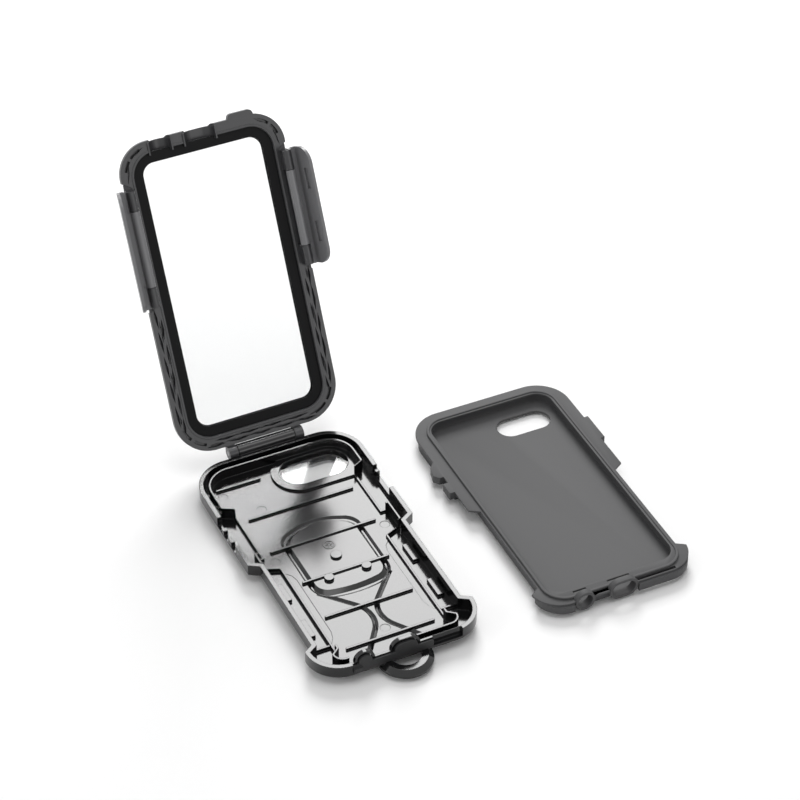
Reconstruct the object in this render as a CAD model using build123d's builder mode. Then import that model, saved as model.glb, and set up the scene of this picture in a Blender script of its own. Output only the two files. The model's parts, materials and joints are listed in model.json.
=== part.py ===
# Waterproof phone case for a handlebar mount: hard tray, hinged window lid with two
# side latches, and the soft liner that holds the phone, shown lifted out beside it.
# Millimetres. X across, Y along (far end = hinge), Z up. Origin on the ground under
# the middle of the rear mount socket.
import os
from math import atan2, cos, degrees, hypot, radians, sin

from build123d import *

os.makedirs("parts", exist_ok=True)

# the phone that the case is made for sets its length and width
PHONE_W = 67.7
PHONE_L = 138.9
PHONE_Y = 1.05
PHONE_R = 10.0

# heights of the tray
BELLY_Z = 2.4            # underside of the shell
BAY_Z = 3.6              # floor of the side bays
FLOOR_Z = 4.4            # main inner floor
PAD_Z = 4.8              # raised pad over the mount socket
REST_Z = 5.6             # tops of ribs and kerbs, the liner rests here
WALL_Z = 9.9             # upright inner wall beside the seal groove
RIM_Z = 10.6             # top of the outer rim
FLANGE_T = 1.0           # the liner's flange between rim and lid
LID_Z = RIM_Z + FLANGE_T
LID_EDGE = 2.4           # upright edge of the lid
LID_TOP = 17.8           # outside of the closed lid
LID_SLOPE = 3.2          # its outside is this much smaller all round

# outline of tray and lid
HALF_W = PHONE_W / 2 + 8.25              # half width at the hinge end
FAR_Y = PHONE_L / 2 + 8.15
NEAR_Y = -PHONE_L / 2 - 6.25
WAIST = HALF_W - 4.9                     # half width between the latches
WING = HALF_W - 0.5                      # half width of the cable end
CORNER_R = 18.1
WING_R = 15.9
WING_C = (HALF_W - 16.3, NEAR_Y + WING_R)
WAIST_FAR = 1.3                          # the waist runs from here
WAIST_NEAR = NEAR_Y + 19.8               # to here
RIM_T = 2.1
GROOVE_W = 2.6                           # seal groove between rim and inner wall
BELLY_C = 2.4

# floor features
WALL_T = 0.9
RIB_T = 1.0
BAY_X = HALF_W - 9.9                     # wall of the button bays
LATCH_BAY_X = HALF_W - 14.6              # wall of the latch bays
PAD_HALF = 20.2
PAD_FAR = 26.8
PAD_NEAR = -27.6
PAD_RING = 3.3                           # width of the grooved border
PAD_GROOVE = 1.0
CHANNEL_W = 2.8
CHANNEL_D = 1.0
MARK_D = 0.15

# lanyard loop
LOOP_X = 0.6
LOOP_IN = 7.5
LOOP_OUT = 13.0
LOOP_T = 3.2

# cable outlets
OUT_Z = RIM_Z
ROUND_X = -19.6
ROUND_R = 5.0
WIDE_X = 0.4
WIDE_HALF = 7.3
BORE_R = 3.7
OUTLET_L = 2.9           # the collars reach in this far from the outer face
HOOD_GAP = 0.4
PLUG_GAP = 0.4
PLUG_T = 1.0             # strip that joins the two plugs, let into the front wall
PLUG_X0 = -25.7
PLUG_X1 = 13.8
PLUG_Z0 = 5.6
PLUG_Z1 = 9.9

# camera opening
WINDOW_C = (HALF_W - 25.7, FAR_Y - 17.4)
WINDOW_L = 34.6
WINDOW_W = 19.0
PANE_T = 1.2
SEAT_W = 1.2             # ledge that carries the pane
COLLAR_W = 4.2           # raised surround of the opening

# main hinge
HINGE_Y = FAR_Y + 3.4
HINGE_Z = 11.0
HINGE_R = 3.3
HINGE_PIN_R = 1.25
HINGE_MID = 14.7         # half length of the tray's knuckle
HINGE_END = 19.4
LID_OPEN = 116.0

# side latches, drawn closed on the right side
LATCH_X = WAIST + 2.4
LATCH_Z = 7.3
LATCH_R = 2.2
LATCH_PIN_R = 1.0
RUN = 0.05               # running clearance on the pins
KNUCKLE_RUN = 0.1
LUGS = [(0.9, -8.6), (WAIST_NEAR + 9.9, WAIST_NEAR + 0.4)]     # far and near end of each
KNUCKLE_GAP = 0.3
LATCH_KNUCKLE = LUGS[0][1] - LUGS[1][0] - 2 * KNUCKLE_GAP
LEG_FAR = WAIST_FAR + 0.4                # the latch runs from here
LEG_NEAR = WAIST_NEAR + 0.2              # to here
LEG_TOP = 3.9
LATCH_T = 1.5
LATCH_OUT = LATCH_X + LATCH_R
LATCH_TIP = WAIST - 7.8
TIP_R = 8.0
LATCH_LOW = 0.7
LATCH_OPEN = 103.0
HOOKS = [(-9.3, -19.3), (WAIST_NEAR + 20.6, WAIST_NEAR + 10.6)]
HOOK_X = WAIST - 2.9
HOOK_W = 1.9
HOOK_H = 1.1
HOOK_GAP = 0.5

# lid window
WIN_HALF = WAIST - 7.3
WIN_FAR = FAR_Y - 12.2
WIN_NEAR = NEAR_Y + 11.0
WIN_R = 6.0
BEZEL = 5.3              # width of the dark frame round the window
FILM_Z = 13.4
FILM_T = 0.8
SEAL_T = 0.8
LUG_IN = WIN_HALF + BEZEL + 0.3          # lugs grow out of the lid from here
TAB_X = 22.0
SLIT_W = 0.9
SLIT_D = 0.8
# thin slits that core out the lid's inner face, by their two ends
SLITS = [
    ((-38.5, 20.0), (-38.5, 9.0)), ((-37.3, 34.0), (-37.3, 21.0)), ((-38.5, 46.0), (-38.5, 34.5)),
    ((-37.5, 57.5), (-37.5, 48.0)), ((-38.7, 61.0), (-38.7, 57.0)), ((38.6, 8.4), (38.6, 3.0)),
    ((39.5, 20.0), (39.5, 11.0)), ((38.2, 34.0), (38.2, 21.0)), ((39.5, 47.0), (39.5, 35.0)),
    ((38.2, 57.0), (38.2, 48.0)), ((39.3, 61.0), (39.3, 58.0)), ((36.8, 69.0), (38.8, 63.5)),
    ((-36.8, 69.0), (-38.8, 63.5)), ((-38.5, -58.0), (-36.4, -67.0)),
    ((38.5, -58.0), (36.4, -67.0)), ((-34.5, -69.5), (-28.0, -73.3)),
    ((34.5, -69.5), (28.0, -73.3)), ((-27.0, 74.8), (-20.0, 75.1)), ((-19.0, 75.1), (-13.0, 75.1)),
    ((-11.0, 75.1), (-1.0, 75.1)), ((1.5, 75.1), (12.5, 75.1)), ((14.0, 75.1), (23.0, 75.1)),
    ((25.0, 74.6), (32.0, 72.4)), ((-24.0, 73.2), (-17.0, 73.2)), ((-15.0, 73.2), (-6.0, 73.2)),
    ((-4.0, 73.2), (5.0, 73.2)), ((7.0, 73.2), (16.0, 73.2)), ((18.0, 73.2), (25.0, 73.0))]

# liner
LIN_T = 1.2              # wall and base
LIN_H = 6.6              # height over its underside
TONGUE_H = 1.6           # the seal tongue reaches below the underside
TONGUE_T = 1.8
TONGUE_GAP = (GROOVE_W - TONGUE_T) / 2
LIN_EDGE = 1.1           # the flange stops short of the outer face of tray and lid
LIN_NEAR = 2.6           # and ends this much earlier at the cable end
BULGE_H = 4.2
LIP_SIDE = 1.3           # lip over the edge of the phone
LIP_FAR = 1.2
LIP_NEAR = 4.0
LIP_T = 1.0
COLLAR_L = 3.0
LINER_AT = (109.0, -8.0)
LINER_TURN = -0.57


def outline():
    """Shared outline of tray and lid, as one flat face."""
    with BuildSketch() as sk:
        with BuildLine():
            cx = HALF_W - CORNER_R
            cy = FAR_Y - CORNER_R
            k = CORNER_R * cos(radians(45))
            Polyline((0, FAR_Y), (cx, FAR_Y))
            ThreePointArc((cx, FAR_Y), (cx + k, cy + k), (HALF_W, cy))
            wx = WING_C[0] + WING_R * cos(radians(-45))
            wy = WING_C[1] + WING_R * sin(radians(-45))
            Polyline((HALF_W, cy), (HALF_W, WAIST_FAR + 3.0), (WAIST, WAIST_FAR),
                     (WAIST, WAIST_NEAR), (WING, WAIST_NEAR - 2.8))
            ThreePointArc((WING, WAIST_NEAR - 2.8), (wx, wy), (WING_C[0], NEAR_Y))
            Polyline((WING_C[0], NEAR_Y), (0, NEAR_Y))
            mirror(about=Plane.YZ)
        make_face()
    return sk.sketch


def inner_loop(inset):
    """Loop of the upright inner wall and the low kerbs, inset from its outer face."""
    t = inset
    cx, cy = HALF_W - CORNER_R, FAR_Y - CORNER_R
    r = CORNER_R - RIM_T - GROOVE_W - t
    k = r * cos(radians(45))
    fr = 5.0 - t
    fx, fy = LATCH_BAY_X - 1.5, NEAR_Y + 10.7
    f = fr * cos(radians(45))
    top, bend = NEAR_Y + 13.9 - 0.4 * t, NEAR_Y + 11.1 - 0.4 * t
    bay, step, latch_bay = BAY_X - t, BAY_X + 3.8 - t, LATCH_BAY_X - t
    with BuildSketch() as sk:
        with BuildLine():
            Polyline((-cx, cy + r), (cx, cy + r))
            ThreePointArc((cx, cy + r), (cx + k, cy + k), (cx + r, cy))
            Polyline((cx + r, cy), (cx + r, FAR_Y - 27.4), (bay, FAR_Y - 30.2), (bay, 17.6 - t),
                     (step, 17.6 - t), (step, 4.4), (latch_bay, 0.9),
                     (latch_bay, top), (fx + fr, bend), (fx + fr, fy))
            ThreePointArc((fx + fr, fy), (fx + f, fy - f), (fx, fy - fr))
            Polyline((fx, fy - fr), (-fx, fy - fr))
            ThreePointArc((-fx, fy - fr), (-fx - f, fy - f), (-fx - fr, fy))
            Polyline((-fx - fr, fy), (-fx - fr, bend), (-latch_bay, top), (-latch_bay, 0.9),
                     (-step, 4.4),
                     (-step, 11.1 - t), (-bay, 11.1 - t), (-bay, FAR_Y - 33.7),
                     (-cx - r, FAR_Y - 30.9), (-cx - r, cy))
            ThreePointArc((-cx - r, cy), (-cx - k, cy + k), (-cx, cy + r))
        make_face()
    return sk.sketch


def pad_shape(inset, turn):
    """Rounded square with bowed ends for the pad over the socket; turn sizes its near corners."""
    half, far, near = PAD_HALF - inset, PAD_FAR - inset, PAD_NEAR + inset * 1.55
    corner_x, corner_y = half - 0.75 * turn, near + 1.1
    with BuildSketch() as sk:
        with BuildLine():
            Polyline((half, near + turn), (half, far - 11.9))
            ThreePointArc((half, far - 11.9), (half - 1.7, far - 6.6), (half - 6.4, far - 3.3))
            ThreePointArc((half - 6.4, far - 3.3), (0, far), (6.4 - half, far - 3.3))
            ThreePointArc((6.4 - half, far - 3.3), (1.7 - half, far - 6.6), (-half, far - 11.9))
            Polyline((-half, far - 11.9), (-half, near + turn))
            ThreePointArc((-half, near + turn), (0.18 * turn - half, near + 0.46 * turn),
                          (-corner_x, corner_y))
            ThreePointArc((-corner_x, corner_y), (0, near), (corner_x, corner_y))
            ThreePointArc((corner_x, corner_y), (half - 0.18 * turn, near + 0.46 * turn),
                          (half, near + turn))
        make_face()
    return sk.sketch


def tall_zone():
    """Where the inner wall stands at full height instead of as a low kerb."""
    with BuildSketch() as sk:
        with Locations((0, FAR_Y - 12.6)):
            Rectangle(2 * HALF_W, 31)
        with Locations((BAY_X + 5.3, FAR_Y - 28.6)):
            Rectangle(11, 3.4)
        with Locations((-BAY_X - 5.3, FAR_Y - 31.0)):
            Rectangle(11, 8)
        with Locations((BAY_X + 6.3, 10.6)):
            Rectangle(8.6, 14.4)
        with Locations((-BAY_X - 6.3, 7.4)):
            Rectangle(8.6, 8)
        with Locations((0, NEAR_Y + 9.7)):
            Rectangle(2 * HALF_W, 13)
        with Locations(((ROUND_X - ROUND_R + WIDE_X + WIDE_HALF) / 2, NEAR_Y + 5.7)):
            Rectangle(WIDE_X + WIDE_HALF - ROUND_X + ROUND_R + 2 * HOOD_GAP, 5.0, mode=Mode.SUBTRACT)
    return sk.sketch


full = outline()
rim_inner = offset(full, amount=-RIM_T, kind=Kind.INTERSECTION)
lid_back = offset(full, amount=-LID_SLOPE, kind=Kind.INTERSECTION)
foot_outer = offset(full, amount=-9.9, kind=Kind.INTERSECTION)
foot_inner = offset(full, amount=-12.1, kind=Kind.INTERSECTION)
loop_out = inner_loop(0)
loop_in = inner_loop(WALL_T)

# base tray, one moulding
with BuildPart() as base_tray:
    with BuildSketch(Plane.XY.offset(BELLY_Z)):
        add(full)
    extrude(amount=RIM_Z - BELLY_Z)
    chamfer(base_tray.edges().group_by(Axis.Z)[0], BELLY_C)
    with BuildSketch(Plane.XY.offset(BAY_Z)):
        add(rim_inner)
    extrude(amount=RIM_Z, mode=Mode.SUBTRACT)
    # floor, kerbs and upright inner wall
    with BuildSketch(Plane.XY.offset(BAY_Z)):
        add(loop_in)
    extrude(amount=FLOOR_Z - BAY_Z)
    with BuildSketch(Plane.XY.offset(BAY_Z)):
        add(loop_out)
        add(loop_in, mode=Mode.SUBTRACT)
    extrude(amount=REST_Z - BAY_Z)
    with BuildSketch(Plane.XY.offset(BAY_Z)):
        add(loop_out)
        add(loop_in, mode=Mode.SUBTRACT)
        add(tall_zone(), mode=Mode.INTERSECT)
    extrude(amount=WALL_Z - BAY_Z)
    # grooved border and pad over the socket, both with sloping sides
    with BuildSketch(Plane.XY.offset(FLOOR_Z)):
        add(pad_shape(0, 12.1))
    with BuildSketch(Plane.XY.offset(FLOOR_Z - PAD_GROOVE)):
        add(pad_shape(PAD_GROOVE, 12.1))
    loft(ruled=True, mode=Mode.SUBTRACT)
    with BuildSketch(Plane.XY.offset(FLOOR_Z - PAD_GROOVE)):
        add(pad_shape(PAD_RING - PAD_GROOVE - 0.4, 7.7))
    with BuildSketch(Plane.XY.offset(PAD_Z)):
        add(pad_shape(PAD_RING, 7.7))
    loft(ruled=True)
    # curved V channels that run from the pad to the cable end
    for side in (1, -1):
        channel_end = NEAR_Y + 10.7
        run = channel_end + 20.7
        with BuildLine() as channel:
            first = Line((18.2 * side, -20.7, FLOOR_Z), (5.6 * side, -20.7 + 0.32 * run, FLOOR_Z))
            bend = ThreePointArc(first @ 1, (2.0 * side, -20.7 + 0.52 * run, FLOOR_Z),
                                 (5.0 * side, -20.7 + 0.75 * run, FLOOR_Z))
            Line(bend @ 1, (12.8 * side, channel_end, FLOOR_Z))
        with BuildSketch(Plane(origin=first @ 0, z_dir=first % 0, x_dir=(0, 0, 1))):
            Polygon((0.3, CHANNEL_W / 2 + 0.3), (0.3, -CHANNEL_W / 2 - 0.3), (-CHANNEL_D, 0),
                    align=None)
        sweep(path=channel.line, transition=Transition.RIGHT, mode=Mode.SUBTRACT)
    # shallow steps beside the latch bays and round ejector marks
    for side in (1, -1):
        edge = LATCH_BAY_X - 0.8
        with BuildSketch(Plane.XY.offset(FLOOR_Z)):
            with BuildLine():
                Polyline((edge * side, -1.6), ((edge - 2.7) * side, -4.6), ((edge - 3.6) * side, -8.2),
                         ((edge - 3.6) * side, WAIST_NEAR + 9.9), ((edge - 2.6) * side, WAIST_NEAR + 5.9),
                         (edge * side, WAIST_NEAR + 1.7), (edge * side, -1.6))
            make_face()
        extrude(amount=-MARK_D, mode=Mode.SUBTRACT)
    with BuildSketch(Plane.XY.offset(FLOOR_Z)):
        with Locations((-BAY_X + 0.7, FAR_Y - 18.2), (-18.3, FAR_Y - 33.8), (-BAY_X + 5.0, 7.2),
                       (BAY_X - 2.3, 9.0), (0, NEAR_Y + 21.5)):
            RegularPolygon(2.4, 16)
    extrude(amount=-MARK_D, mode=Mode.SUBTRACT)
    # ribs that carry the liner
    rib_in = BAY_X - 5.2
    rib_short = BAY_X - 10.2
    for y, x0, x1 in [(FAR_Y - 14.1, -BAY_X - 0.8, WINDOW_C[0] - 26.6), (38.1, -rib_in, rib_in),
                      (12.8, -rib_in, rib_in), (-12.5, -rib_short, rib_short),
                      (-37.6, -rib_short, rib_short), (NEAR_Y + 15.4, -rib_short, rib_short)]:
        with Locations(((x0 + x1) / 2, y + RIB_T / 2, (BAY_Z + REST_Z) / 2)):
            Box(x1 - x0, RIB_T, REST_Z - BAY_Z)
    # button, two stub pins and the moulded date ring on the pad
    with Locations((0, -1.2, PAD_Z + 0.3)):
        Cylinder(2.7, 1.4)
    with Locations((9.5, -14.2, PAD_Z + 0.4), (-9.5, -14.2, PAD_Z + 0.4)):
        Cylinder(2.3, 1.8)
    with BuildSketch(Plane.XY.offset(PAD_Z)):
        with Locations((0, 6.9)):
            RegularPolygon(2.9, 18)
            RegularPolygon(2.3, 18, mode=Mode.SUBTRACT)
            with PolarLocations(1.2, 6):
                Rectangle(1.2, 0.35)
    extrude(amount=0.25)
    # camera opening: raised surround, ledge for the pane, cut through the floor
    with BuildSketch(Plane.XY.offset(FLOOR_Z)):
        with Locations(WINDOW_C):
            SlotOverall(WINDOW_L + 2 * COLLAR_W, WINDOW_W + 2 * COLLAR_W)
        with Locations((WINDOW_C[0] + 11, WINDOW_C[1] - WINDOW_W / 4 - COLLAR_W / 2)):
            Rectangle(22, WINDOW_W / 2 + COLLAR_W)
        add(loop_in, mode=Mode.INTERSECT)
    extrude(amount=REST_Z - FLOOR_Z)
    with BuildSketch(Plane.XY.offset(REST_Z)):
        with Locations(WINDOW_C):
            SlotOverall(WINDOW_L, WINDOW_W)
    extrude(amount=FLOOR_Z - PANE_T - REST_Z, mode=Mode.SUBTRACT)
    with BuildSketch(Plane.XY.offset(REST_Z)):
        with Locations(WINDOW_C):
            SlotOverall(WINDOW_L - 2 * SEAT_W, WINDOW_W - 2 * SEAT_W)
    extrude(amount=-REST_Z, mode=Mode.SUBTRACT)
    # button bays: left with three low windows, right open with a post
    rim_x = HALF_W - RIM_T / 2
    for y in (FAR_Y - 39.6, FAR_Y - 47.3, FAR_Y - 56.0):
        with Locations((-rim_x, y, 8.6)):
            Box(3.4, 5.4, 6.0, mode=Mode.SUBTRACT)
    with Locations((-rim_x, FAR_Y - 47.8, 9.6)):
        Box(3.4, 21.9, 2.6, mode=Mode.SUBTRACT)
    with Locations((rim_x, FAR_Y - 43.1, 8.3)):
        Box(3.4, 18.0, 5.2, mode=Mode.SUBTRACT)
    with Locations((rim_x, FAR_Y - 36.0, 7.2)):
        Box(1.9, 3.0, 3.4)
    # raised rails in the latch bays, over ramped hooks under the bay
    for side in (1, -1):
        for y0, y1 in HOOKS:
            with Locations(((HOOK_X - 1.9) * side, (y0 + y1) / 2 + 0.2, BAY_Z + 0.6)):
                Box(3.4, 11.6, 2.0)
            hook_in, hook_out = (HOOK_X - HOOK_W / 2) * side, (HOOK_X + HOOK_W / 2) * side
            with BuildSketch(Plane.XZ.offset(-y0 + HOOK_GAP)):
                Polygon((hook_in, BELLY_Z + 0.3), (hook_in, BELLY_Z),
                        (hook_out - 0.6 * side, BELLY_Z - HOOK_H), (hook_out, BELLY_Z - HOOK_H),
                        (hook_out, BELLY_Z + 0.3), align=None)
            extrude(amount=y0 - y1 - 2 * HOOK_GAP)
        with Locations(((LATCH_BAY_X + 3.9) * side, WAIST_NEAR + 1.3, BAY_Z + 0.7)):
            Box(7.4, 0.9, 1.8)
    # cable outlets with collars that stand over the rim, and the seat of the plug strip
    with Locations((ROUND_X, NEAR_Y + OUTLET_L / 2, OUT_Z)):
        Cylinder(ROUND_R, OUTLET_L, rotation=(90, 0, 0))
    with BuildSketch(Plane.XZ.offset(-NEAR_Y - OUTLET_L)):
        with Locations((WIDE_X, OUT_Z)):
            SlotOverall(2 * WIDE_HALF, 2 * ROUND_R)
    extrude(amount=OUTLET_L)
    with Locations(((PLUG_X0 + PLUG_X1) / 2, NEAR_Y, PLUG_Z0 + 7.0)):
        Box(PLUG_X1 - PLUG_X0, 2 * PLUG_T, 14.0, mode=Mode.SUBTRACT)
    with Locations((ROUND_X, NEAR_Y, OUT_Z)):
        Cylinder(BORE_R, 2 * OUTLET_L + 1, rotation=(90, 0, 0), mode=Mode.SUBTRACT)
    with BuildSketch(Plane.XZ.offset(-NEAR_Y - OUTLET_L - 0.5)):
        with Locations((WIDE_X, OUT_Z)):
            SlotOverall(2 * (WIDE_HALF - ROUND_R + BORE_R), 2 * BORE_R)
    extrude(amount=2 * OUTLET_L, mode=Mode.SUBTRACT)
    # finger notch under the lid's tab
    with Locations((TAB_X - 0.8, NEAR_Y + 0.6, 8.8)):
        Box(14.6, 2.6, 5.6, mode=Mode.SUBTRACT)
    # lanyard loop, half a ring with a sloping outer face
    with BuildSketch(Plane(origin=(LOOP_X, NEAR_Y + 1.7, BELLY_Z), x_dir=(1, 0, 0), z_dir=(0, -1, 0))):
        Polygon((LOOP_IN, 0), (LOOP_OUT, 0), (LOOP_OUT, LOOP_T - 2.0), (LOOP_OUT - 2.4, LOOP_T),
                (LOOP_IN, LOOP_T), align=None)
    revolve(axis=Axis((LOOP_X, NEAR_Y + 1.7, 0), (0, 0, 1)), revolution_arc=-180)
    # hinge knuckle
    with Locations((0, (FAR_Y + HINGE_Y) / 2 - 0.6, 9.3)):
        Box(2 * HINGE_MID, HINGE_Y - FAR_Y + 1.2, 2.6)
    with Locations((0, HINGE_Y, HINGE_Z)):
        Cylinder(HINGE_R, 2 * HINGE_MID, rotation=(0, 90, 0))
        Cylinder(HINGE_PIN_R + RUN, 2 * HINGE_MID + 1, rotation=(0, 90, 0), mode=Mode.SUBTRACT)
    # underside: foot rim and mount socket with two side rails
    with BuildSketch():
        add(foot_outer)
        add(foot_inner, mode=Mode.SUBTRACT)
    extrude(amount=BELLY_Z + 0.4)
    with BuildSketch():
        RectangleRounded(46, 60, 12)
        RectangleRounded(36, 50, 7, mode=Mode.SUBTRACT)
    extrude(amount=BELLY_Z + 0.4)
    with Locations((16.9, 0, 0.6), (-16.9, 0, 0.6)):
        Box(3.0, 34, 1.2)

# clear pane behind the camera opening
with BuildPart() as camera_window:
    with BuildSketch(Plane.XY.offset(FLOOR_Z)):
        with Locations(WINDOW_C):
            SlotOverall(WINDOW_L, WINDOW_W)
    extrude(amount=-PANE_T)

# soft plugs of both cable outlets on one strip, with a pull tab
with BuildPart() as outlet_plug:
    with Locations(((PLUG_X0 + PLUG_X1) / 2, NEAR_Y + PLUG_T / 2, (PLUG_Z0 + PLUG_Z1) / 2)):
        Box(PLUG_X1 - PLUG_X0, PLUG_T, PLUG_Z1 - PLUG_Z0)
    with Locations((ROUND_X, NEAR_Y + OUTLET_L / 2, OUT_Z)):
        Cylinder(BORE_R - PLUG_GAP, OUTLET_L, rotation=(90, 0, 0))
    with BuildSketch(Plane.XZ.offset(-NEAR_Y - OUTLET_L)):
        with Locations((WIDE_X, OUT_Z)):
            SlotOverall(2 * (WIDE_HALF - ROUND_R + BORE_R - PLUG_GAP), 2 * (BORE_R - PLUG_GAP))
    extrude(amount=OUTLET_L)
    with Locations((PLUG_X0 + 2.2, NEAR_Y - 0.4, PLUG_Z0 + 1.6)):
        Box(4.4, 1.4, 2.4)

# pin of the main hinge
with BuildPart() as hinge_pin:
    with Locations((0, HINGE_Y, HINGE_Z)):
        Cylinder(HINGE_PIN_R, 2 * HINGE_END, rotation=(0, 90, 0))


def lid_swing(part):
    """Turn a piece drawn on the closed lid to the opened lid."""
    return part.rotate(Axis((0, HINGE_Y, HINGE_Z), (1, 0, 0)), -LID_OPEN)


WIN_Y = (WIN_FAR + WIN_NEAR) / 2
WIN_LEN = WIN_FAR - WIN_NEAR

# lid frame, drawn closed
with BuildPart() as lid_frame:
    with BuildSketch(Plane.XY.offset(LID_Z)):
        add(full)
    extrude(amount=LID_EDGE)
    with BuildSketch(Plane.XY.offset(LID_Z + LID_EDGE)):
        add(full)
    with BuildSketch(Plane.XY.offset(LID_TOP)):
        add(lid_back)
    loft(ruled=True)
    # inner recess for the clamp ring, and the window that flares to the outside
    with BuildSketch(Plane.XY.offset(LID_Z)):
        with Locations((0, WIN_Y)):
            RectangleRounded(2 * (WIN_HALF + BEZEL), WIN_LEN + 2 * BEZEL, WIN_R + BEZEL)
    extrude(amount=FILM_Z + FILM_T - LID_Z, mode=Mode.SUBTRACT)
    with BuildSketch(Plane.XY.offset(FILM_Z + FILM_T)):
        with Locations((0, WIN_Y)):
            RectangleRounded(2 * WIN_HALF, WIN_LEN, WIN_R)
    extrude(amount=LID_TOP - FILM_Z - FILM_T, taper=-28, mode=Mode.SUBTRACT)
    # half round hoods over the cable outlets
    with Locations((ROUND_X, NEAR_Y + OUTLET_L / 2, OUT_Z)):
        Cylinder(ROUND_R + HOOD_GAP, OUTLET_L + 2 * HOOD_GAP, rotation=(90, 0, 0), mode=Mode.SUBTRACT)
    with BuildSketch(Plane.XZ.offset(-NEAR_Y - OUTLET_L - HOOD_GAP)):
        with Locations((WIDE_X, OUT_Z)):
            SlotOverall(2 * (WIDE_HALF + HOOD_GAP), 2 * (ROUND_R + HOOD_GAP))
    extrude(amount=OUTLET_L + 2 * HOOD_GAP, mode=Mode.SUBTRACT)
    # lugs of the side latches
    for side in (1, -1):
        for y0, y1 in LUGS:
            ym = (y0 + y1) / 2
            with Locations((side * LATCH_X, ym, LATCH_Z)):
                Cylinder(LATCH_R, y0 - y1, rotation=(90, 0, 0))
            with Locations((side * (LATCH_X - 0.3), ym, (LATCH_Z + LID_Z) / 2 + 0.6)):
                Box(2 * LATCH_R - 0.6, y0 - y1, LID_Z - LATCH_Z + 1.2)
            with Locations((side * (LUG_IN + LATCH_X + 1.2) / 2, ym, LID_Z + LID_EDGE / 2)):
                Box(LATCH_X + 1.2 - LUG_IN, y0 - y1, LID_EDGE)
            with Locations((side * LATCH_X, ym, LATCH_Z)):
                Cylinder(LATCH_PIN_R, y0 - y1 + 1, rotation=(90, 0, 0), mode=Mode.SUBTRACT)
    # hinge knuckles at both ends of the tray's knuckle
    for side in (1, -1):
        xm = side * (HINGE_MID + KNUCKLE_GAP + HINGE_END) / 2
        with Locations((xm, HINGE_Y, HINGE_Z)):
            Cylinder(HINGE_R, HINGE_END - HINGE_MID - KNUCKLE_GAP, rotation=(0, 90, 0))
        with Locations((xm, (FAR_Y + HINGE_Y) / 2 - 0.6, LID_Z + 0.9)):
            Box(HINGE_END - HINGE_MID - KNUCKLE_GAP, HINGE_Y - FAR_Y + 1.2, 1.8)
        with Locations((xm, HINGE_Y, HINGE_Z)):
            Cylinder(HINGE_PIN_R, HINGE_END - HINGE_MID + 2, rotation=(0, 90, 0), mode=Mode.SUBTRACT)
    # room for the tray's knuckle
    with Locations((0, HINGE_Y, HINGE_Z)):
        Cylinder(HINGE_R + KNUCKLE_RUN, 2 * (HINGE_MID + KNUCKLE_GAP), rotation=(0, 90, 0),
                 mode=Mode.SUBTRACT)
    # opening tab at the front
    with BuildSketch(Plane.XY.offset(LID_Z)):
        with Locations((TAB_X, NEAR_Y + 0.4)):
            RectangleRounded(13.0, 5.6, 2.4)
    extrude(amount=LID_EDGE)
    # slits in the inner face
    with BuildSketch(Plane.XY.offset(LID_Z)):
        for (x0, y0), (x1, y1) in SLITS:
            length = hypot(x1 - x0, y1 - y0)
            turned = Location(((x0 + x1) / 2, (y0 + y1) / 2, 0), degrees(atan2(y1 - y0, x1 - x0)))
            with Locations(turned):
                Polygon((-length / 2, 0), (0, -SLIT_W / 2), (length / 2, 0), (0, SLIT_W / 2))
    extrude(amount=SLIT_D, mode=Mode.SUBTRACT)

with BuildPart() as window_film:
    with BuildSketch(Plane.XY.offset(FILM_Z)):
        with Locations((0, WIN_Y)):
            RectangleRounded(2 * (WIN_HALF + BEZEL), WIN_LEN + 2 * BEZEL, WIN_R + BEZEL)
    extrude(amount=FILM_T)

with BuildPart() as film_clamp:
    with BuildSketch(Plane.XY.offset(FILM_Z)):
        with Locations((0, WIN_Y)):
            RectangleRounded(2 * (WIN_HALF + BEZEL), WIN_LEN + 2 * BEZEL, WIN_R + BEZEL)
            RectangleRounded(2 * WIN_HALF + 0.8, WIN_LEN + 0.8, WIN_R, mode=Mode.SUBTRACT)
    extrude(amount=-SEAL_T)

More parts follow.
